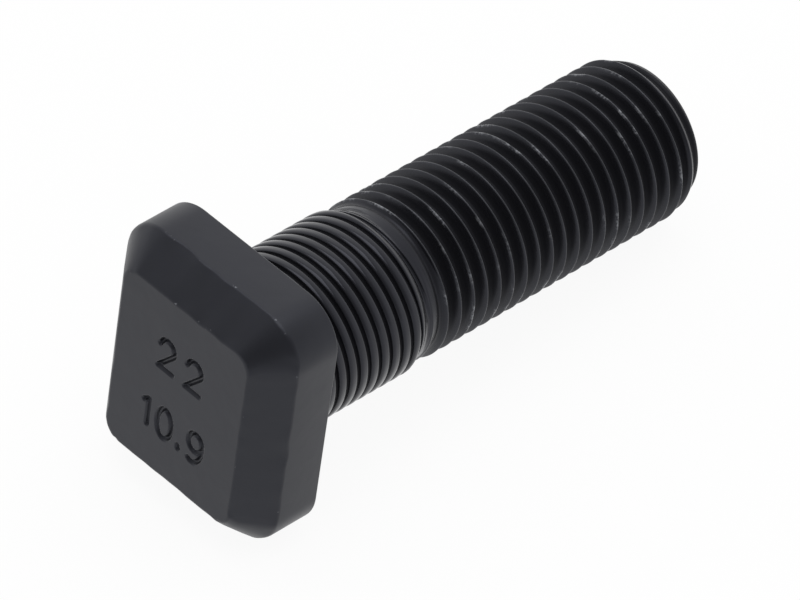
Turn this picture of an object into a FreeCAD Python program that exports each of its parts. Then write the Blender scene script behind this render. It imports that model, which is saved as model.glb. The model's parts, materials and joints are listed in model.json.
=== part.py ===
import FreeCAD, Part
import Sketcher
import os

# A wheel bolt, in millimetres: one piece of steel with a forged oblong head, chamfered wide round
# its outer face. Under the head the shank has a thicker band, here plain, which the fine locking
# thread is rolled on and which presses into the hub. It tapers off to a short neck at the size of
# the blank, and then comes a coarse right-hand thread for the wheel nut, down to a chamfered tip.
# The bolt lies as it comes to rest on a flat surface: on the lower rear edge of the head and on the
# last crest under the tip.

# Driving dimensions
sizes = {
    "headWidth": 30.4,
    "headHeight": 36.2,
    "headThickness": 11.2,
    "headCornerRadius": 6.0,
    "faceChamferInset": 4.0,
    "faceChamferDepth": 4.5,
    "faceEdgeChamfer": 0.3,
    "rearEdgeChamfer": 0.3,
    "shankLength": 70.6,
    "lockDiameter": 22.9,
    "lockLength": 19.5,
    "lockTaperLength": 1.9,
    "neckDiameter": 20.9,
    "neckLength": 2.5,
    "threadShoulderLength": 0.6,
    "threadDiameter": 22.2,
    "threadPitch": 2.309,
    "threadDepth": 0.94,
    "threadCrestFlat": 0.3,
    "threadOvercut": 0.1,
    "threadPhase": 0.39,
    "tipDiameter": 19.4,
    "tipChamferLength": 2.8,
}

doc = FreeCAD.newDocument("WheelBolt")
sheet = doc.addObject("Spreadsheet::Sheet", "Sizes")
for row, (alias, value) in enumerate(sizes.items(), start=1):
    sheet.set(f"A{row}", alias)
    sheet.set(f"B{row}", str(value))
    sheet.setAlias(f"B{row}", alias)
doc.recompute()

# Sizes that follow from the driving ones. A crest passes the top of the bolt a quarter pitch past
# threadPhase, or a whole number of turns on from there, and passes its underside three quarters
# past it. The head rests where its rear chamfer meets the lower side.
derivedSizes = {
    "neckStart": "Sizes.lockLength + Sizes.lockTaperLength",
    "threadStart": "neckStart + Sizes.neckLength",
    "tipChamferStart": "Sizes.shankLength - Sizes.tipChamferLength",
    "grooveHalfWidth": "(Sizes.threadPitch - Sizes.threadCrestFlat) / 2",
    "turnsToThread": "ceil((threadStart - Sizes.threadPhase) / Sizes.threadPitch - 0.75)",
    "firstGroove": "Sizes.threadPhase + (turnsToThread + 0.75) * Sizes.threadPitch",
    "threadTurns": "floor((Sizes.shankLength - firstGroove) / Sizes.threadPitch) + 2",
    "turnsToRest": "floor((tipChamferStart - Sizes.threadPhase) / Sizes.threadPitch - 0.75)",
    "restCrest": "Sizes.threadPhase + (turnsToRest + 0.75) * Sizes.threadPitch"
                 " + Sizes.threadCrestFlat / 2",
    "tilt": "atan((Sizes.headHeight - Sizes.threadDiameter) / 2"
            " / (restCrest + Sizes.rearEdgeChamfer))",
    "rearEdgeHeight": "Sizes.headHeight / 2 * cos(tilt) - Sizes.rearEdgeChamfer * sin(tilt)",
    "headReach": "Sizes.headThickness * cos(tilt)"
                 " + (Sizes.headHeight / 2 - Sizes.faceChamferInset"
                 " - Sizes.faceEdgeChamfer) * sin(tilt)",
    "tipReach": "Sizes.shankLength * cos(tilt) + Sizes.tipDiameter / 2 * sin(tilt)",
}
derived = doc.addObject("Spreadsheet::Sheet", "Derived")
for row, (alias, formula) in enumerate(derivedSizes.items(), start=1):
    derived.set(f"A{row}", alias)
    derived.set(f"B{row}", f"={formula}")
    derived.setAlias(f"B{row}", alias)
doc.recompute()

body = doc.addObject("PartDesign::Body", "WheelBolt")
body.Label = "wheel_bolt"


def origin(role):
    """The body's own origin plane or axis with this role."""
    return next(item for item in body.Origin.OriginFeatures if item.Role == role)


def newSketch(name, role):
    """An empty sketch on one of the body's origin planes."""
    sketch = body.newObject("Sketcher::SketchObject", name)
    sketch.AttachmentSupport = [(origin(role), "")]
    sketch.MapMode = "FlatFace"
    return sketch


def evaluate(formula):
    """What a formula gives with the present sizes."""
    return float(body.evalExpression(formula))


def drawOutline(sketch, corners):
    """Closes an outline through named corners, each driven along both sketch axes."""
    places = [FreeCAD.Vector(evaluate(across), evaluate(up), 0) for name, across, up in corners]
    count = len(corners)
    for index in range(count):
        sketch.addGeometry(Part.LineSegment(places[index], places[(index + 1) % count]), False)
    for index in range(count):
        sketch.addConstraint(Sketcher.Constraint("Coincident", index, 2, (index + 1) % count, 1))
    for index, (name, across, up) in enumerate(corners):
        for axis, kind, formula, value in ((-2, "DistanceX", across, places[index].x),
                                           (-1, "DistanceY", up, places[index].y)):
            if formula == "0":
                sketch.addConstraint(Sketcher.Constraint("PointOnObject", index, 1, axis))
                continue
            number = sketch.addConstraint(Sketcher.Constraint(kind, -1, 1, index, 1, value))
            sketch.renameConstraint(number, f"{name}{kind[-1]}")
            sketch.setExpression(f"Constraints.{name}{kind[-1]}", formula)


def edgesWhere(feature, test):
    """Names of the edges of a feature whose bounding box passes the test."""
    return [f"Edge{number}" for number, edge in enumerate(feature.Shape.Edges, start=1)
            if test(edge.BoundBox)]


def near(first, second):
    """Whether two lengths agree to a hundredth of a millimetre."""
    return abs(first - second) < 0.01


# The head, forged as an oblong block with rounded corners and a wide chamfer round its outer face
headSketch = newSketch("HeadOutline", "YZ_Plane")
halfWidth = "Sizes.headWidth / 2"
halfHeight = "Sizes.headHeight / 2"
drawOutline(headSketch, [
    ("lowerLeft", f"-{halfWidth}", f"-{halfHeight}"),
    ("lowerRight", halfWidth, f"-{halfHeight}"),
    ("upperRight", halfWidth, halfHeight),
    ("upperLeft", f"-{halfWidth}", halfHeight),
])
head = body.newObject("PartDesign::Pad", "Head")
head.Profile = headSketch
head.setExpression("Length", "Sizes.headThickness")
head.Reversed = True
doc.recompute()
thickness = head.Length.Value
headCorners = body.newObject("PartDesign::Fillet", "HeadCorners")
headCorners.Base = (head, edgesWhere(head, lambda box: near(box.XLength, thickness)))
headCorners.setExpression("Radius", "Sizes.headCornerRadius")
doc.recompute()
faceChamfer = body.newObject("PartDesign::Chamfer", "FaceChamfer")
faceChamfer.Base = (headCorners, edgesWhere(headCorners, lambda box: near(box.XMax, -thickness)))
faceChamfer.ChamferType = "Two distances"
faceChamfer.FlipDirection = True
faceChamfer.setExpression("Size", "Sizes.faceChamferInset")
faceChamfer.setExpression("Size2", "Sizes.faceChamferDepth")
doc.recompute()
faceEdge = body.newObject("PartDesign::Chamfer", "FaceEdge")
faceEdge.Base = (faceChamfer, edgesWhere(faceChamfer, lambda box: near(box.XMax, -thickness)))
faceEdge.setExpression("Size", "Sizes.faceEdgeChamfer")
doc.recompute()
rearEdge = body.newObject("PartDesign::Chamfer", "RearEdge")
rearEdge.Base = (faceEdge, edgesWhere(faceEdge, lambda box: near(box.XMin, 0)))
rearEdge.setExpression("Size", "Sizes.rearEdgeChamfer")
doc.recompute()

# The shank, turned about the bolt's axis
shankSketch = newSketch("ShankProfile", "XZ_Plane")
drawOutline(shankSketch, [
    ("seat", "0", "0"),
    ("lockNear", "0", "Sizes.lockDiameter / 2"),
    ("lockFar", "Sizes.lockLength", "Sizes.lockDiameter / 2"),
    ("neckNear", "Derived.neckStart", "Sizes.neckDiameter / 2"),
    ("neckFar", "Derived.threadStart", "Sizes.neckDiameter / 2"),
    ("threadNear", "Derived.threadStart + Sizes.threadShoulderLength", "Sizes.threadDiameter / 2"),
    ("threadFar", "Derived.tipChamferStart", "Sizes.threadDiameter / 2"),
    ("tip", "Sizes.shankLength", "Sizes.tipDiameter / 2"),
    ("end", "Sizes.shankLength", "0"),
])
shank = body.newObject("PartDesign::Revolution", "Shank")
shank.Profile = shankSketch
shank.ReferenceAxis = (origin("X_Axis"), [""])
shank.Angle = 360
doc.recompute()

# The wheel-nut thread: one right-hand groove between the crests, cut from the neck off past the tip
threadSketch = newSketch("ThreadVee", "XZ_Plane")
outerHalfWidth = "Derived.grooveHalfWidth * (1 + Sizes.threadOvercut / Sizes.threadDepth)"
drawOutline(threadSketch, [
    ("near", f"Derived.firstGroove - {outerHalfWidth}",
     "Sizes.threadDiameter / 2 + Sizes.threadOvercut"),
    ("far", f"Derived.firstGroove + {outerHalfWidth}",
     "Sizes.threadDiameter / 2 + Sizes.threadOvercut"),
    ("root", "Derived.firstGroove", "Sizes.threadDiameter / 2 - Sizes.threadDepth"),
])
thread = body.newObject("PartDesign::SubtractiveHelix", "WheelNutThread")
thread.Profile = threadSketch
thread.ReferenceAxis = (origin("X_Axis"), [""])
thread.Mode = "pitch-turns-angle"
thread.setExpression("Pitch", "Sizes.threadPitch")
thread.setExpression("Turns", "Derived.threadTurns")
doc.recompute()

# Lying on the lower rear edge of the head and the last crest, centred over its own outline
lie = FreeCAD.Placement(FreeCAD.Vector(), FreeCAD.Rotation(FreeCAD.Vector(0, 1, 0), 1))
body.Placement = lie
body.setExpression("Placement.Rotation.Angle", "Derived.tilt")
body.setExpression("Placement.Base.x", "(Derived.headReach - Derived.tipReach) / 2")
body.setExpression("Placement.Base.z", "Derived.rearEdgeHeight")
doc.recompute()

# Everything has to be sound before it is written
for item in doc.Objects:
    if "Invalid" in item.State or "Error" in item.State:
        raise RuntimeError(f"{item.Label} did not build: {item.State}")
for item in (headCorners, faceChamfer, faceEdge, rearEdge, shank, thread):
    if item.Shape.isNull() or not item.Shape.isValid():
        raise RuntimeError(f"{item.Label} has no valid shape")
if thread.Shape.Volume >= shank.Shape.Volume:
    raise RuntimeError("the thread cut nothing")
if len(body.Shape.Solids) != 1:
    raise RuntimeError("the bolt is not one solid")

os.makedirs("parts", exist_ok=True)
body.Shape.exportStep(f"parts/{body.Label}.step")
box = body.Shape.optimalBoundingBox()
print(f"{body.Label}: {body.Shape.Volume:.0f} mm3, {box.XLength:.2f} x {box.YLength:.2f} x "
      f"{box.ZLength:.2f} mm, x {box.XMin:.3f}..{box.XMax:.3f}, lowest {box.ZMin:.3f}")
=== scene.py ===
import json
import math

import bmesh
import bpy
import numpy as np
from mathutils import Matrix, Vector


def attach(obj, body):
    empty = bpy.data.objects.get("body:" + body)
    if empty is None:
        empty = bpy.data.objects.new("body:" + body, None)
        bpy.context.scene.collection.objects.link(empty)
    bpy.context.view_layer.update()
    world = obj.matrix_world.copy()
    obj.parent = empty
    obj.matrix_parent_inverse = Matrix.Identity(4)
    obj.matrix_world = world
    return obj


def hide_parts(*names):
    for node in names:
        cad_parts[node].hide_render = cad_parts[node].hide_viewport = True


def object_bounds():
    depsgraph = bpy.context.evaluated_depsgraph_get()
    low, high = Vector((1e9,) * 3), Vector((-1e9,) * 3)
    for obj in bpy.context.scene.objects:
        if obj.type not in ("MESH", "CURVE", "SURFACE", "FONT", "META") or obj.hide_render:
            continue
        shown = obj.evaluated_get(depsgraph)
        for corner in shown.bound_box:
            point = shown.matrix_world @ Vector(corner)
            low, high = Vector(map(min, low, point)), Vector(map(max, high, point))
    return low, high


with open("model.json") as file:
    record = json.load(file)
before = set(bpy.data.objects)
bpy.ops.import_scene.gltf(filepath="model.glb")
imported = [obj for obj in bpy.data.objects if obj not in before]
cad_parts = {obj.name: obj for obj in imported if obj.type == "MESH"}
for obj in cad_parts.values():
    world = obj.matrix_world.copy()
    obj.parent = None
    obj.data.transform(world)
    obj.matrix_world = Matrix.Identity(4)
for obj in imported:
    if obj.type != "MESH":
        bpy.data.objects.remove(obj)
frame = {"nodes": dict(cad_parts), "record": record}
cadLow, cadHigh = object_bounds()
print("frame loaded:", sorted(frame["nodes"]))

millimetres = 1000  # in a metre

# The bolt's own frame, which all its sizes in mm are in: x along the axis from the bearing face
# to the tip, z up the head's longer side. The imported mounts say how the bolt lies.
mounts = {mount["name"]: mount for mount in frame["record"]["mounts"]}
bandMount = mounts["hub_band"]
boltAxis = Vector(bandMount["axis"]).normalized()
bandLength = bandMount["dims"]["length_mm"]
seatCentre = Vector(bandMount["pos_m"]) - boltAxis * bandLength / (2 * millimetres)
sideways = Vector((0, 1, 0))
boltToRow = Matrix((boltAxis, sideways, boltAxis.cross(sideways))).transposed().to_4x4()
boltToRow = Matrix.Translation(seatCentre) @ boltToRow @ Matrix.Scale(1 / millimetres, 4)

# A column of vertices runs from the face over the head and along the shank. One quarter turn has
# this many on half of the head's long side, its round corner and half of its short end.
quarter = {"longSide": 15, "corner": 18, "shortEnd": 12}
columns = 4 * sum(quarter.values())
turn = np.arange(columns + 1) / columns  # turns round the axis, from +y towards +z

head = {
    "width": (cadHigh.y - cadLow.y) * millimetres,
    "height": 36.2,
    "thickness": 11.2,
    "cornerRadius": 6.0,
    "faceCornerRadius": 2.5,  # the chamfer's corners narrow to this at the face
    "creaseLeg": 0.55,      # on the chamfer a corner leaves the long side at a crease and joins the
    "creaseWay": 0.43,      # short end smoothly; these are its start, its bend and its end, as
    "smoothLeg": 0.95,      # ways from the sharp corner over the corner's radius
    "creaseStart": 0.3,     # inset where that form sets in
    "creaseFull": 2.0,
    "creaseFade": 2.2,      # and from here on it fades towards the face
    "unevenness": 0.09,     # how far the forged chamfer's edges wander
    "waves": range(7, 42),  # of the wandering, counted round the head
    "waveEvenness": 6,      # the larger, the less the short waves are damped
    "cornerCalm": 0.7,      # share of the wandering that the corners are spared
    "faceEdgeSeed": 3,
    "sideEdgeSeed": 5,
    "faceEdgeInward": 0.06,  # the face's edge strays inwards only, from this far in
    "strayBlend": 0.05,
    "chamferInset": 4.0,
    "chamferDepth": 4.5,
    "chamferRows": (0.22, 0.78),  # shares of the chamfer's width
    "rearRound": 0.3,
    "sideRound": 0.7,       # where side and chamfer meet
    "sideRoundCorner": 1.3,  # the same, at the four corners
    "faceRound": 0.6,
    "faceFlat": 5.3,        # inset from which the face is flat
    "seatInset": 2.4,       # inset of the last row on the bearing face
    "roundSteps": 6,
    "neckFillet": 0.5,      # between bearing face and shank
    "filletRows": (0.0, 0.06, 0.2, 0.45, 0.75, 1.0),
}

lockThread = {              # the fine three-start thread that bites in the hub
    "radius": bandMount["dims"]["r_mm"],
    "length": bandLength,
    "start": 0.6,           # its first row, from the bearing face
    "pitch": 1.84,          # from one groove to the next
    "starts": 3,
    "grooveAt": 8.28,       # a groove's middle passes here
    "grooveTurn": 125 / 360,
    "depth": 0.62,
    "grooveHalfTop": 0.31,
    "grooveHalfRoot": 0.25,
    "edgeRound": 0.06,      # of a land's edge towards the head
    "edgeRoundTip": 0.14,   # and towards the tip
    "wallShare": 0.85,      # of the depth is wall, and the rest is the rounding of the edges
    "peak": 0.38,           # a land is highest this far across, counted from the head's side
    "leanHead": 0.18,       # and from there it falls this far towards its edges
    "leanTip": 0.07,
    "endDepth": 0.35,       # the last groove runs out this deep where the taper meets the neck
    "grooveEnd": 21.7,
    "grooveFade": 0.4,
    "rows": (-0.38, -0.25, -0.21, -0.168, -0.136, 0.136, 0.168, 0.2, 0.24, 0.29, 0.35, 0.42, 0.51),
}

neck = {
    "start": bandLength + 1.9,  # the band tapers off to here
    "radius": 10.55,
}

nutThread = {               # right-hand thread with the flanks of the inch threads
    "radius": 11.1,
    "pitch": 2.309,
    "phase": 0.39,          # a crest passes here on the +y side
    "crestRounding": 0.11,
    "rootRounding": 0.32,
    "depth": 1.48,
    "belowDepth": 0.02,     # share that is left of what a groove would reach below its depth
    "flankAngle": 27.5,
    "dents": 170,           # how many places on the crests are knocked flat
    "dentDepth": 0.12,
    "dentTurn": 0.022,      # half the length of a dent, in turns, times a number between the
    "dentShortest": 0.35,   # next one and that plus 1
    "dentSeed": 11,
    "runOutStart": 22.1,    # from the neck on, crests rise before the groove sinks
    "runOutEnd": 23.3,
    "grooveStart": 22.8,
    "grooveFull": 25.5,
    "rows": (0.0, 0.03, 0.055, 0.1, 0.22, 0.34, 0.41, 0.5, 0.59, 0.66, 0.78, 0.9, 0.945, 0.97),
}

tip = {
    "end": 70.6,
    "chamferStart": 67.6,
    "radius": 9.6,
    "chamferBlend": 0.1,
    "edgeRound": 0.18,
    "rimRows": (0.0, 0.5, 0.85, 1.0),
    "endRows": (0.985, 0.94, 0.8, 0.6, 0.4, 0.2, 0.0),
    "dimple": 0.25,         # the rolled end is pushed in a little at its middle
    "dimpleEdges": (0.15, 0.85),
}

rowFold = 0.03              # a thread's rows this near to where it ends are moved onto the end


def smoothStep(low, high, value):
    share = np.clip((value - low) / (high - low), 0, 1)
    return share * share * (3 - 2 * share)


def smoothMin(first, second, blend):
    gap = np.clip(0.5 + 0.5 * (second - first) / blend, 0, 1)
    return second + (first - second) * gap - blend * gap * (1 - gap)


def smoothPositive(value, blend):
    # the value where it is above zero, and zero where it is below, with a soft change between
    return (value + np.hypot(value, blend)) / 2


def headColumns():
    # for each column its foot, as a share of the way to the middle of the corner arc along y and
    # z, the way out from there, its place in a corner from 0 at the long side to 1 at the short
    # one, or -1 outside corners, and the ways along those two sides
    feet, ways, places, legs = [], [], [], []
    for index in range(columns + 1):
        side, step = divmod(index, columns // 4)
        spans = list(quarter.values()) if side % 2 == 0 else list(quarter.values())[::-1]
        along, across, angle, share = 1.0, 1.0, 0.0, -1.0
        if step < spans[0]:
            along = step / spans[0]
        elif step <= spans[0] + spans[1]:
            share = (step - spans[0]) / spans[1]
            angle = share * math.pi / 2
        else:
            angle = math.pi / 2
            across = 1 - (step - spans[0] - spans[1]) / spans[2]
        quarterTurn = Matrix.Rotation(side * math.pi / 2, 2)
        feet.append(quarterTurn @ Vector((across, along)))
        ways.append(quarterTurn @ Vector((math.cos(angle), math.sin(angle))))
        sideWays = (quarterTurn @ Vector((0, 1)), quarterTurn @ Vector((1, 0)))
        places.append(1 - share if side % 2 and share >= 0 else share)
        legs.append(sideWays[::-1] if side % 2 else sideWays)
    return np.array(feet), np.array(ways), np.array(places), np.array(legs)


columnFeet, columnWays, cornerPlace, columnLegs = headColumns()
legLong, legShort = columnLegs[:, 0], columnLegs[:, 1]
cornerShare = np.sin(math.pi * np.maximum(cornerPlace, 0)) ** 2


def headRow(inset, depth):
    # one row round the head at an inset from its outline, both numbers or one for each column
    inset = inset * np.ones(columns + 1)
    narrowing = (head["cornerRadius"] - head["faceCornerRadius"]) / head["chamferInset"]
    radius = head["cornerRadius"] - narrowing * np.minimum(inset, head["chamferInset"])
    halfSize = np.array((head["width"], head["height"])) / 2
    feet = columnFeet * (halfSize - (inset + radius)[:, None])
    outline = feet + columnWays * radius[:, None]
    creased = smoothStep(head["creaseStart"], head["creaseFull"], inset)
    creased *= 1 - smoothStep(head["creaseFade"], head["chamferInset"], inset)
    creased *= (depth < -head["thickness"] / 2) * (cornerPlace >= 0)
    corner = columnFeet * (halfSize - inset[:, None])
    longLeg = head["creaseLeg"] * (1 - cornerPlace) ** 2
    shortLeg = 2 * cornerPlace * (1 - cornerPlace) * head["creaseWay"]
    shortLeg += cornerPlace ** 2 * head["smoothLeg"]
    crease = corner - radius[:, None] * (longLeg[:, None] * legLong + shortLeg[:, None] * legShort)
    outline += creased[:, None] * (crease - outline)
    return np.column_stack((depth * np.ones(columns + 1), outline))


def wander(seed):
    # how far an edge strays from its line at each column, in mm; the corners stay smoother
    chance = np.random.default_rng(seed)
    waves = [np.sin(2 * math.pi * (count * turn + chance.random()))
             / (count + head["waveEvenness"]) ** 0.5 for count in head["waves"]]
    return head["unevenness"] * sum(waves) * (1 - head["cornerCalm"] * cornerShare)


def roundCorner(corner, before, after, radius, stray=(0, 0)):
    # rows that round a corner of the head's profile; the profile is in (inset, x), and so is how
    # far it strays at each column
    corner, before, after = np.array(corner), np.array(before), np.array(after)
    into = (corner - before) / np.linalg.norm(corner - before)
    out = (after - corner) / np.linalg.norm(after - corner)
    angle = math.acos(np.clip(into @ out, -1, 1))
    normal = (out - into * math.cos(angle)) / math.sin(angle)
    for step in range(head["roundSteps"] + 1):
        bent = angle * step / head["roundSteps"]
        offset = into * (math.sin(bent) - math.tan(angle / 2)) + normal * (1 - math.cos(bent))
        yield headRow(corner[0] + radius * offset[0] + stray[0],
                      corner[1] + radius * offset[1] + stray[1])


def headRows():
    # the rows from the face to the bearing face, and how exposed to knocks each of them is
    face = -head["thickness"]
    flat = (head["faceFlat"], face)
    faceEdge = (head["chamferInset"], face)
    sideEdge = (0.0, face + head["chamferDepth"])
    rearEdge = (0.0, 0.0)
    seat = (head["seatInset"], 0.0)
    sideRound = head["sideRound"] + (head["sideRoundCorner"] - head["sideRound"]) * cornerShare
    inward = head["faceEdgeInward"]
    inward = inward + smoothPositive(wander(head["faceEdgeSeed"]), head["strayBlend"])
    rows = [headRow(*flat)]
    rows += roundCorner(faceEdge, flat, sideEdge, head["faceRound"], (inward, 0))
    # the chamfer itself is even between its wandering edges
    rows += [headRow(*(np.array(faceEdge) + share * (np.array(sideEdge) - faceEdge)))
             for share in head["chamferRows"]]
    sideStray = (0, wander(head["sideEdgeSeed"]))
    rows += roundCorner(sideEdge, faceEdge, rearEdge, sideRound, sideStray)
    rows += roundCorner(rearEdge, sideEdge, seat, head["rearRound"])
    rows.append(headRow(*seat))
    onEdge = np.sin(np.linspace(0, math.pi, head["roundSteps"] + 1))
    onChamfer = np.zeros(len(head["chamferRows"]))
    return rows, np.concatenate(((0,), onEdge, onChamfer, onEdge, onEdge, (0,)))


def shankRow(x, radius):
    angle = 2 * math.pi * turn
    return np.column_stack((x * np.ones(columns + 1), radius * np.cos(angle),
                            radius * np.sin(angle)))


def landLean(away):
    # how far the top of a land, or the line across a groove, lies below the land's peak
    edge, peak = lockThread["grooveHalfTop"], lockThread["peak"]
    inLand = np.where(away < 0, away + lockThread["pitch"], away) - edge
    inLand = np.clip(inLand / (lockThread["pitch"] - 2 * edge), 0, 1)
    headSide = lockThread["leanHead"] * (np.maximum(peak - inLand, 0) / peak) ** 2
    tipSide = lockThread["leanTip"] * (np.maximum(inLand - peak, 0) / (1 - peak)) ** 2
    acrossGroove = np.interp(away, (-edge, edge), (lockThread["leanTip"], lockThread["leanHead"]))
    return np.where(np.abs(away) < edge, acrossGroove, headSide + tipSide)


def lockRadius(x):
    # grooves cut in the band, its taper and the first of the neck
    away = (x - lockThread["grooveAt"]) / lockThread["pitch"]
    away -= lockThread["starts"] * (turn - lockThread["grooveTurn"])
    away = (away - np.round(away)) * lockThread["pitch"]
    lean = landLean(away)
    rounding = np.where(away < 0, lockThread["edgeRoundTip"], lockThread["edgeRound"])
    away = np.abs(away)
    tapered = np.clip((x - lockThread["length"]) / (neck["start"] - lockThread["length"]), 0, 1)
    depth = lockThread["depth"] + tapered * (lockThread["endDepth"] - lockThread["depth"])
    fadeEnd = lockThread["grooveEnd"] + lockThread["grooveFade"]
    depth *= 1 - smoothStep(lockThread["grooveEnd"], fadeEnd, x)
    edge, root = lockThread["grooveHalfTop"], lockThread["grooveHalfRoot"]
    wall = 1 - np.clip((away - root) / (edge - root), 0, 1)
    rounded = np.clip(1 - (away - edge) / rounding, 0, 1) ** 2
    wallShare = lockThread["wallShare"]
    drop = depth * (wall * wallShare + rounded * (1 - wallShare)) + lean * (1 - tapered)
    return lockThread["radius"] + tapered * (neck["radius"] - lockThread["radius"]) - drop


def crestDents():
    # places along the thread, in turns, and depths of the dents in its crests
    chance = np.random.default_rng(nutThread["dentSeed"])
    turns = (tip["end"] - nutThread["runOutStart"]) / nutThread["pitch"]
    start = (nutThread["runOutStart"] - nutThread["phase"]) / nutThread["pitch"]
    places = start + turns * chance.random(nutThread["dents"])
    depths = nutThread["dentDepth"] * chance.random(nutThread["dents"]) ** 2
    halves = nutThread["dentTurn"] * (nutThread["dentShortest"] + chance.random(nutThread["dents"]))
    return list(zip(places, depths, halves))


dents = crestDents()


def dentDepth(along):
    depth = np.zeros_like(along)
    for place, deepest, half in dents:
        depth = np.maximum(depth, deepest * (1 - ((along - place) / half) ** 2))
    return depth


def nutRadius(x):
    pitch = nutThread["pitch"]
    away = (x - nutThread["phase"]) / pitch - turn
    along = np.round(away) + turn
    away = np.abs(away - np.round(away)) * pitch
    flank = math.radians(nutThread["flankAngle"])
    half = pitch / 2
    crestRound, rootRound = nutThread["crestRounding"], nutThread["rootRounding"]
    crestEnd, rootStart = crestRound * math.cos(flank), half - rootRound * math.cos(flank)
    crest = crestRound - np.sqrt(np.maximum(crestRound ** 2 - away ** 2, 0))
    straight = crestRound * (1 - math.sin(flank)) + (away - crestEnd) / math.tan(flank)
    rootDrop = crestRound * (1 - math.sin(flank)) + (rootStart - crestEnd) / math.tan(flank)
    rootDrop -= rootRound * math.sin(flank)
    root = rootDrop + np.sqrt(np.maximum(rootRound ** 2 - (half - away) ** 2, 0))
    drop = np.where(away < crestEnd, crest, np.where(away > rootStart, root, straight))
    deepest = nutThread["depth"] + nutThread["belowDepth"] * (drop - nutThread["depth"])
    return nutThread["radius"] - np.maximum(np.minimum(drop, deepest), dentDepth(along))


def shankRadius(x):
    # near the head the locking thread, then the neck, then the wheel-nut thread down to the tip
    fillet = head["neckFillet"]
    underHead = lockThread["radius"] + fillet
    underHead = underHead - np.sqrt(np.maximum(fillet ** 2 - (fillet - x) ** 2, 0))
    rolled = nutRadius(x) - neck["radius"]
    risen = np.maximum(rolled, 0) * smoothStep(nutThread["runOutStart"], nutThread["runOutEnd"], x)
    sunk = np.minimum(rolled, 0) * smoothStep(nutThread["grooveStart"], nutThread["grooveFull"], x)
    radius = lockRadius(x)
    radius = np.where(x < fillet, np.maximum(radius, underHead), radius) + risen + sunk
    slope = (nutThread["radius"] - tip["radius"]) / (tip["end"] - tip["chamferStart"])
    chamfer = nutThread["radius"] - (x - tip["chamferStart"]) * slope
    radius = smoothMin(radius, chamfer, tip["chamferBlend"])
    past = np.maximum(x - tip["end"] + tip["edgeRound"], 0)
    return radius - tip["edgeRound"] + np.sqrt(np.maximum(tip["edgeRound"] ** 2 - past ** 2, 0))


def helixRows(first, last, phase, thread):
    # rows that follow a thread at shares of its pitch, so that its edges stay crisp; past an end
    # they fold onto it
    pitch, starts = thread["pitch"], thread.get("starts", 1)
    lead = pitch * starts
    number = math.floor((first - phase - lead) / pitch) - 1
    while phase + pitch * number < last:
        for share in thread["rows"]:
            x = phase + pitch * (number + share) + lead * turn
            x = np.where(x < first + rowFold, first, np.where(x > last - rowFold, last, x))
            if x.max() > first and x.min() < last:
                yield shankRow(x, shankRadius(x))
        number += 1


def straightRows(places):
    for x in places:
        x = x * np.ones(columns + 1)
        yield shankRow(x, shankRadius(x))


def shankRows():
    lockStart, lockEnd = lockThread["start"], nutThread["runOutStart"]
    rows = list(straightRows(head["neckFillet"] * np.array(head["filletRows"])))
    rows += straightRows([lockStart])
    lockPhase = lockThread["grooveAt"]
    lockPhase -= lockThread["starts"] * lockThread["pitch"] * lockThread["grooveTurn"]
    rows += helixRows(lockStart, lockEnd, lockPhase, lockThread)
    rows += straightRows([lockEnd])
    nutEnd = tip["end"] - tip["edgeRound"]
    rows += helixRows(lockEnd, nutEnd, nutThread["phase"], nutThread)
    rows += straightRows(tip["end"] - tip["edgeRound"] * (1 - np.array(tip["rimRows"])))
    endRadius = np.linalg.norm(rows[-1][:, 1:], axis=1)
    for share in tip["endRows"]:
        dent = tip["dimple"] * (1 - smoothStep(*tip["dimpleEdges"], share))
        rows.append(shankRow(tip["end"] - dent, endRadius * share))
    return rows


# Numbers stamped in the face, in mm from its middle, with across counted to the reader's right
marks = {
    "height": 4.7,
    "width": 2.5,
    "bottom": 0.08,         # the punch leaves a stroke with a narrow rounded bottom
    "halfStroke": 0.45,
    "depth": 0.55,
    "cell": 0.14,           # of the fine grid that carries them
    "margin": 1.3,
    "lines": (              # each sign with its place across, and each line's middle
        (("2", -2.4), ("2", 2.4), 5.1),
        (("1", -4.4), ("0", -1.4), (".", 1.25), ("9", 4.1), -5.6),
    ),
}


def arc(centre, radii, start, end, steps=14):
    angles = np.radians(np.linspace(start, end, steps))
    return [(centre[0] + radii[0] * math.cos(angle), centre[1] + radii[1] * math.sin(angle))
            for angle in angles]


def numeral(sign):
    # the strokes of a numeral, from -0.5 to 0.5 across and from 0 to 1 up
    if sign == "0":
        return [arc((0, 0.5), (0.5, 0.5), 0, 360, 28)]
    if sign == "1":
        return [[(-0.3, 0.82), (0.04, 0.95), (0.04, 0.06)]]
    if sign == "2":
        return [arc((0, 0.72), (0.5, 0.28), 170, -25) + [(-0.5, 0.0), (0.5, 0.0)]]
    if sign == "9":
        return [arc((0, 0.7), (0.48, 0.3), 0, 360, 24), arc((-0.12, 0.62), (0.6, 0.62), 8, -115)]
    return [[(-0.02, 0.16), (0.02, 0.06)]]


def strokeDistance(across, up):
    # how far each point of the face is from the middle of the nearest stroke
    nearest = np.full(across.shape, np.inf)
    for *signs, middle in marks["lines"]:
        for sign, place in signs:
            for stroke in numeral(sign):
                points = np.array(stroke) * (marks["width"], marks["height"])
                points += (place, middle - marks["height"] / 2)
                for start, end in zip(points[:-1], points[1:]):
                    step = end - start
                    away = np.stack((across - start[0], up - start[1]), axis=-1)
                    share = np.clip(away @ step / (step @ step), 0, 1)
                    gap = np.linalg.norm(away - share[..., None] * step, axis=-1)
                    nearest = np.minimum(nearest, gap)
    return nearest


def markLines(low, high):
    return np.linspace(low, high, round((high - low) / marks["cell"]) + 1)


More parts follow.
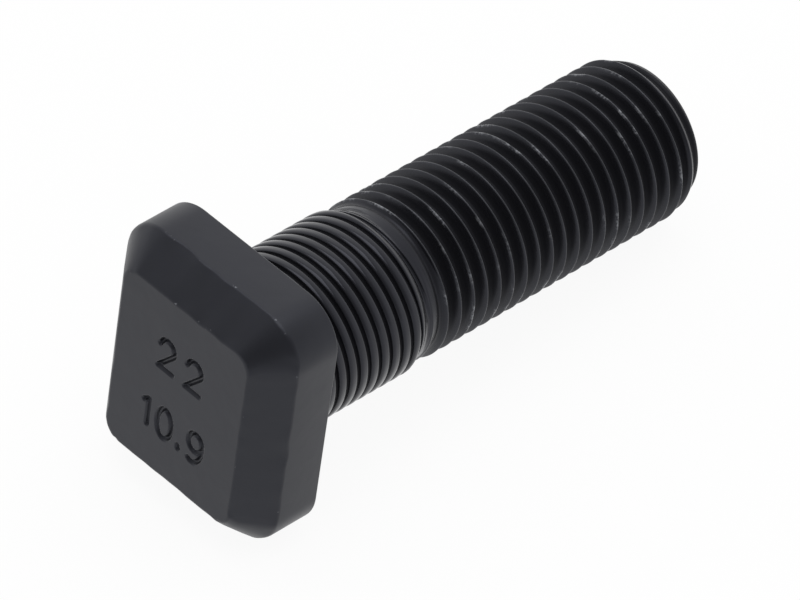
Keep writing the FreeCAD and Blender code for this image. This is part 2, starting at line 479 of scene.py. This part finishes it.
def stampedPatch(bm):
    # the fine part of the face that carries the numbers
    half = marks["height"] / 2 + marks["margin"]
    edge = marks["width"] / 2 + marks["margin"]
    reach = max(abs(place) for *signs, middle in marks["lines"] for sign, place in signs) + edge
    middles = sorted(line[-1] for line in marks["lines"])
    ups = np.concatenate([markLines(middle - half, middle + half) for middle in middles])
    acrosses = markLines(-reach, reach)
    across, up = np.meshgrid(acrosses, ups)
    gap = strokeDistance(across, up)
    sunk = 1 - smoothStep(marks["bottom"], marks["halfStroke"], gap)
    x = -head["thickness"] + marks["depth"] * sunk
    grid = [[bm.verts.new((x[i, j], -across[i, j], up[i, j])) for j in range(len(acrosses))]
            for i in range(len(ups))]
    for below, above in zip(grid[:-1], grid[1:]):
        for j in range(len(acrosses) - 1):
            bm.faces.new((below[j], below[j + 1], above[j + 1], above[j]))


sameVertex = 0.0005         # how near vertices of folded rows are merged
flatFace = 0.9999           # share along the axis from which a face is shaded flat


def addShares(mesh, name, shares):
    mesh.attributes.new(name, "FLOAT", "POINT").data.foreach_set("value", shares)


def boltMesh():
    rows, onEdge = headRows()
    headCount = len(rows)
    rows += shankRows()
    points = np.array(rows)
    edgeShare = np.zeros(points.shape[:2])
    edgeShare[:headCount] = onEdge[:, None]
    count, width = points.shape[:2]
    corners = np.arange(count * width).reshape(count, width)
    quads = np.stack((corners[:-1, :-1], corners[:-1, 1:], corners[1:, 1:], corners[1:, :-1]),
                     axis=-1)
    mesh = bpy.data.meshes.new("wheelBolt")
    mesh.from_pydata(points.reshape(-1, 3), [], quads.reshape(-1, 4).tolist())
    isShank = np.repeat(np.arange(count - 1) >= headCount, width - 1)
    mesh.polygons.foreach_set("material_index", isShank.astype(np.int32))
    addShares(mesh, "edge", edgeShare.ravel())
    bm = bmesh.new()
    bm.from_mesh(mesh)
    bmesh.ops.remove_doubles(bm, verts=bm.verts, dist=sameVertex)
    stampedPatch(bm)
    rim = [edge for edge in bm.edges if edge.is_boundary]
    bmesh.ops.bridge_loops(bm, edges=rim)
    bmesh.ops.recalc_face_normals(bm, faces=bm.faces)
    for face in bm.faces:
        face.smooth = abs(face.normal.x) < flatFace
    bm.to_mesh(mesh)
    bm.free()
    return mesh


mesh = boltMesh()
print("bolt mesh:", len(mesh.vertices), "vertices,",
      sum(len(face.vertices) - 2 for face in mesh.polygons), "triangles")

wearAndPaintedLight = {
    "crestDrop": 0.13,      # how far down a crest is painted paler, as rub and as painted highlight
    "dentDrop": 1.2,        # how far down a dent still shows, over the deepest dent
    "dentGain": 3,          # a dent is bare from one part in this many of the deepest dent on
    "endGap": 0.01,         # the end face starts this near the tip's end
}


def wearAndPaintedLightShares():
    # how far out on a crest, how deep in a groove and how far in a dent each vertex lies
    place = np.empty(len(mesh.vertices) * 3)
    mesh.vertices.foreach_get("co", place)
    place = place.reshape(-1, 3)
    radius = np.hypot(place[:, 1], place[:, 2])
    x = place[:, 0]
    isLock = x < lockThread["grooveEnd"]
    top = np.where(isLock, lockThread["radius"], nutThread["radius"])
    depth = np.where(isLock, lockThread["depth"], nutThread["depth"])
    onShank = (x > head["neckFillet"]) & (x < tip["end"] - wearAndPaintedLight["endGap"])
    drop = top - radius
    # crests are painted paler, partly as rub and partly as painted highlight
    crest = np.where(onShank & ~isLock, 1 - smoothStep(0.0, wearAndPaintedLight["crestDrop"], drop), 0)
    # the groove share makes the grooves rougher and darkens their sheen as painted shade
    groove = np.where(onShank, np.clip(drop / depth, 0, 1), 0)
    groove = np.where((x > lockThread["length"]) & (x < nutThread["grooveStart"]), 0, groove)
    turnHere = np.arctan2(place[:, 2], place[:, 1]) / (2 * math.pi)
    along = (x - nutThread["phase"]) / nutThread["pitch"]
    along = np.round(along - turnHere) + turnHere
    inReach = ~isLock & (drop < nutThread["dentDepth"] * wearAndPaintedLight["dentDrop"])
    knocked = np.where(inReach, dentDepth(along), 0)
    knocked = np.clip(knocked / nutThread["dentDepth"] * wearAndPaintedLight["dentGain"], 0, 1)
    return {"crest": crest, "groove": groove, "knocked": knocked}


for name, shares in wearAndPaintedLightShares().items():
    addShares(mesh, name, shares)
mesh.transform(boltToRow)


def linear(hexColour):
    channels = [int(hexColour[place:place + 2], 16) / 255 for place in (1, 3, 5)]
    return tuple(c / 12.92 if c <= 0.04045 else ((c + 0.055) / 1.055) ** 2.4
                 for c in channels) + (1.0,)


def patternScale(size):
    # texture scale at which a pattern's features measure this many mm
    return millimetres / size


def addNode(tree, kind, inputs=None, **settings):
    # each input is a plain value or another node's output
    node = tree.nodes.new(kind)
    for name, value in settings.items():
        setattr(node, name, value)
    for socket, value in (inputs or {}).items():
        if isinstance(value, bpy.types.NodeSocket):
            tree.links.new(value, node.inputs[socket])
        else:
            node.inputs[socket].default_value = value
    return node


def emptyMaterial(name):
    material = bpy.data.materials.new(name)
    material.use_nodes = True
    material.node_tree.nodes.clear()
    return material, material.node_tree


coatIndex = 1.47            # refractive index of the oiled phosphate

# Manganese phosphate on forged steel: an oiled, matt black skin of fine crystals. It has almost no
# colour of its own and shows its surroundings as a soft grey sheen, strongest at a slant.
forgedSteel = {
    "colour": "#0c0c0f",
    "pale": "#15151a",
    "bare": "#6c6e72",
    "tint": "#e6eafa",
    "roughness": 0.38,
    "roughnessSpread": 0.05,
    "mottle": 5.0,          # size of its cloudy patches
    "crystal": 0.22,        # real crystals are under 0.05, too fine to show
    "crystalDepth": 0.02,
    "unevenness": 4.0,      # size of the dips that forging leaves
    "unevennessDepth": 0.2,
    "bump": 0.25,
    "chip": 0.7,            # size of the noise that chips the edges between these two values of it
    "chipFrom": 0.66,
    "chipTo": 0.72,
}


def phosphatedForgedSteel():
    material, tree = emptyMaterial("phosphated_forged_steel")
    place = addNode(tree, "ShaderNodeTexCoord").outputs["Object"]
    mottle = addNode(tree, "ShaderNodeTexNoise",
                     {"Vector": place, "Scale": patternScale(forgedSteel["mottle"]),
                      "Detail": 4.0}).outputs[0]
    skin = addNode(tree, "ShaderNodeMix",
                   {0: mottle, 6: linear(forgedSteel["colour"]), 7: linear(forgedSteel["pale"])},
                   data_type="RGBA").outputs[2]
    dips = addNode(tree, "ShaderNodeTexNoise",
                   {"Vector": place, "Scale": patternScale(forgedSteel["unevenness"]),
                    "Detail": 2.0}).outputs[0]
    wavy = addNode(tree, "ShaderNodeBump",
                   {"Height": dips, "Strength": forgedSteel["bump"],
                    "Distance": forgedSteel["unevennessDepth"] / millimetres}).outputs[0]
    crystals = addNode(tree, "ShaderNodeTexNoise",
                       {"Vector": place, "Scale": patternScale(forgedSteel["crystal"]),
                        "Detail": 3.0}).outputs[0]
    grain = addNode(tree, "ShaderNodeBump",
                    {"Height": crystals, "Normal": wavy, "Strength": forgedSteel["bump"],
                     "Distance": forgedSteel["crystalDepth"] / millimetres}).outputs[0]
    chips = addNode(tree, "ShaderNodeTexNoise",
                    {"Vector": place, "Scale": patternScale(forgedSteel["chip"]),
                     "Detail": 4.0}).outputs[0]
    chipped = addNode(tree, "ShaderNodeMapRange",
                      {"Value": chips, "From Min": forgedSteel["chipFrom"],
                       "From Max": forgedSteel["chipTo"]}).outputs[0]
    edge = addNode(tree, "ShaderNodeAttribute", attribute_name="edge").outputs["Fac"]
    bare = addNode(tree, "ShaderNodeMath", {0: chipped, 1: edge}, operation="MULTIPLY").outputs[0]
    worn = addNode(tree, "ShaderNodeMix", {0: bare, 6: skin, 7: linear(forgedSteel["bare"])},
                   data_type="RGBA").outputs[2]
    middle, spread = forgedSteel["roughness"], forgedSteel["roughnessSpread"]
    rough = addNode(tree, "ShaderNodeMapRange",
                    {"Value": mottle, "To Min": middle - spread,
                     "To Max": middle + spread}).outputs[0]
    shader = addNode(tree, "ShaderNodeBsdfPrincipled",
                     {"Base Color": worn, "Specular Tint": linear(forgedSteel["tint"]),
                      "IOR": coatIndex, "Roughness": rough, "Normal": grain})
    addNode(tree, "ShaderNodeOutputMaterial", {"Surface": shader.outputs[0]})
    return material


# The same phosphate on the rolled shank. Rolling leaves the crests and lands smooth, so the oiled
# skin is glossier there; down in the grooves it is dull and a little paler, and its sheen is
# painted darker there as shade. The crests are painted a little paler all along, partly as rub and
# partly as painted highlight, and their nicks show grey steel.
rolledSteel = {
    "colour": "#121215",
    "groove": "#1a1a1d",
    "worn": "#86888c",
    "tint": "#dcdff0",
    # painted shade: the sheen is tinted this much darker down in the grooves
    "grooveShadeTint": "#707279",
    "roughness": 0.15,
    "grooveRoughness": 0.5,
    "rub": 0.5,             # size of the noise that breaks up the nicks between these two values
    "rubFrom": 0.42,
    "rubTo": 0.72,
    # the crests are painted this much paler, partly as rub and partly as painted highlight
    "crestRubAndHighlight": 0.1,
    "bump": 0.2,
    "grainDepth": 0.02,
}


def phosphatedRolledThread():
    material, tree = emptyMaterial("phosphated_rolled_thread")
    place = addNode(tree, "ShaderNodeTexCoord").outputs["Object"]
    crest = addNode(tree, "ShaderNodeAttribute", attribute_name="crest").outputs["Fac"]
    groove = addNode(tree, "ShaderNodeAttribute", attribute_name="groove").outputs["Fac"]
    knocked = addNode(tree, "ShaderNodeAttribute", attribute_name="knocked").outputs["Fac"]
    rubbed = addNode(tree, "ShaderNodeTexNoise",
                     {"Vector": place, "Scale": patternScale(rolledSteel["rub"]),
                      "Detail": 5.0}).outputs[0]
    patches = addNode(tree, "ShaderNodeMapRange",
                      {"Value": rubbed, "From Min": rolledSteel["rubFrom"],
                       "From Max": rolledSteel["rubTo"]}).outputs[0]
    nicks = addNode(tree, "ShaderNodeMath", {0: patches, 1: knocked},
                    operation="MULTIPLY").outputs[0]
    # crests painted paler, partly as rub and partly as painted highlight
    crestRubAndHighlightShare = addNode(tree, "ShaderNodeMath", {0: crest, 1: rolledSteel["crestRubAndHighlight"]},
                    operation="MULTIPLY").outputs[0]
    wearAndCrestHighlight = addNode(tree, "ShaderNodeMath", {0: crestRubAndHighlightShare, 1: nicks}, operation="ADD",
                   use_clamp=True).outputs[0]
    skin = addNode(tree, "ShaderNodeMix",
                   {0: groove, 6: linear(rolledSteel["colour"]), 7: linear(rolledSteel["groove"])},
                   data_type="RGBA").outputs[2]
    worn = addNode(tree, "ShaderNodeMix", {0: wearAndCrestHighlight, 6: skin, 7: linear(rolledSteel["worn"])},
                   data_type="RGBA").outputs[2]
    # painted shade: the sheen turns darker down in the grooves
    sheenWithGrooveShade = addNode(tree, "ShaderNodeMix",
                    {0: groove, 6: linear(rolledSteel["tint"]),
                     7: linear(rolledSteel["grooveShadeTint"])}, data_type="RGBA").outputs[2]
    rough = addNode(tree, "ShaderNodeMapRange",
                    {"Value": groove, "To Min": rolledSteel["roughness"],
                     "To Max": rolledSteel["grooveRoughness"]}).outputs[0]
    grain = addNode(tree, "ShaderNodeBump",
                    {"Height": rubbed, "Strength": rolledSteel["bump"],
                     "Distance": rolledSteel["grainDepth"] / millimetres}).outputs[0]
    shader = addNode(tree, "ShaderNodeBsdfPrincipled",
                     {"Base Color": worn, "Specular Tint": sheenWithGrooveShade, "IOR": coatIndex,
                      "Roughness": rough, "Normal": grain})
    addNode(tree, "ShaderNodeOutputMaterial", {"Surface": shader.outputs[0]})
    return material


bolt = bpy.data.objects.new("wheel_bolt_rolled", mesh)
bpy.context.scene.collection.objects.link(bolt)
mesh.materials.append(phosphatedForgedSteel())
mesh.materials.append(phosphatedRolledThread())
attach(bolt, "root")
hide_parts("wheel_bolt")
print("bolt placed")

studio = {
    "floorSize": 6.0,
    "floorColour": "#f4f4f4",
    "floorRoughness": 0.9,
    "floorWhite": 0.93,     # share of even white in the floor, seen or mirrored
    "ambientBehind": 1.2,
    "ambientFront": 0.33,   # the dark side of the room, where the photographer stands
    "front": (-0.495, -0.478, 0.726),
    "darkFrom": -0.1,       # the room darkens from here, as a cosine to the front
    "softBoxSize": 1.6,
    "softBoxPlace": (0.1, 0.1, 1.9),
    "softBoxPower": 15.0,
}


# Matt white paper, which the camera and the bolt's sheen see as almost even white. The part of it
# that takes the light keeps the bolt's faint shadow.
def mattWhitePaper():
    material, tree = emptyMaterial("matt_white_paper")
    path = addNode(tree, "ShaderNodeLightPath").outputs
    seen = addNode(tree, "ShaderNodeMath", {0: path["Is Camera Ray"], 1: path["Is Glossy Ray"]},
                   operation="MAXIMUM").outputs[0]
    share = addNode(tree, "ShaderNodeMath", {0: seen, 1: studio["floorWhite"]},
                    operation="MULTIPLY").outputs[0]
    paper = addNode(tree, "ShaderNodeBsdfPrincipled",
                    {"Base Color": linear(studio["floorColour"]), "Specular IOR Level": 0.0,
                     "Roughness": studio["floorRoughness"]}).outputs[0]
    white = addNode(tree, "ShaderNodeEmission",
                    {"Color": (1, 1, 1, 1), "Strength": 1.0}).outputs[0]
    mixed = addNode(tree, "ShaderNodeMixShader", {0: share, 1: paper, 2: white}).outputs[0]
    addNode(tree, "ShaderNodeOutputMaterial", {"Surface": mixed})
    return material


def paleFloor():
    half = studio["floorSize"] / 2
    floorMesh = bpy.data.meshes.new("floor")
    floorMesh.from_pydata([(-half, -half, 0), (half, -half, 0), (half, half, 0), (-half, half, 0)],
                          [], [(0, 1, 2, 3)])
    floorMesh.materials.append(mattWhitePaper())
    floor = bpy.data.objects.new("floor", floorMesh)
    bpy.context.scene.collection.objects.link(floor)


def studioLight():
    world = bpy.data.worlds.new("studio")
    bpy.context.scene.world = world
    world.use_nodes = True
    tree = world.node_tree
    tree.nodes.clear()
    way = addNode(tree, "ShaderNodeTexCoord").outputs["Generated"]
    frontness = addNode(tree, "ShaderNodeVectorMath", {0: way, 1: studio["front"]},
                        operation="DOT_PRODUCT").outputs["Value"]
    ambient = addNode(tree, "ShaderNodeMapRange",
                      {"Value": frontness, "From Min": studio["darkFrom"],
                       "To Min": studio["ambientBehind"],
                       "To Max": studio["ambientFront"]}).outputs[0]
    background = addNode(tree, "ShaderNodeBackground",
                         {"Color": (1, 1, 1, 1), "Strength": ambient})
    addNode(tree, "ShaderNodeOutputWorld", {"Surface": background.outputs[0]})
    light = bpy.data.lights.new("softBox", "AREA")
    light.shape = "SQUARE"
    light.size = studio["softBoxSize"]
    light.energy = studio["softBoxPower"]
    lamp = bpy.data.objects.new("softBox", light)
    lamp.location = studio["softBoxPlace"]
    lamp.rotation_euler = (-lamp.location).to_track_quat("-Z", "Y").to_euler()
    bpy.context.scene.collection.objects.link(lamp)


paleFloor()
studioLight()
print("floor and light set")

# The photograph was taken with a long lens from in front of the head and above. Azimuth 0 looks
# along +y, and the roll turns the camera anticlockwise.
view = {
    "aim": (-3.70, -1.53, 11.77),
    "distance": 1074.7,
    "azimuth": 45.995,
    "elevation": 46.546,
    "roll": 3.186,
    "focalLength": 387.9,
    "sensorWidth": 36.0,
    "clipEnd": 10.0,        # metres
}


def photographView():
    camera = bpy.data.cameras.new("camera")
    camera.lens = view["focalLength"]
    camera.sensor_width = view["sensorWidth"]
    camera.clip_end = view["clipEnd"]
    turned = Matrix.Rotation(-math.radians(view["azimuth"]), 4, "Z")
    lowered = Matrix.Rotation(math.radians(90 - view["elevation"]), 4, "X")
    rolled = Matrix.Rotation(math.radians(view["roll"]), 4, "Z")
    moved = Matrix.Translation(Vector(view["aim"]) / millimetres)
    back = Matrix.Translation((0, 0, view["distance"] / millimetres))
    cameraObject = bpy.data.objects.new("camera", camera)
    cameraObject.matrix_world = moved @ turned @ lowered @ rolled @ back
    bpy.context.scene.collection.objects.link(cameraObject)
    bpy.context.scene.camera = cameraObject


photographView()
bpy.context.scene.view_settings.view_transform = "Standard"
print("camera set")
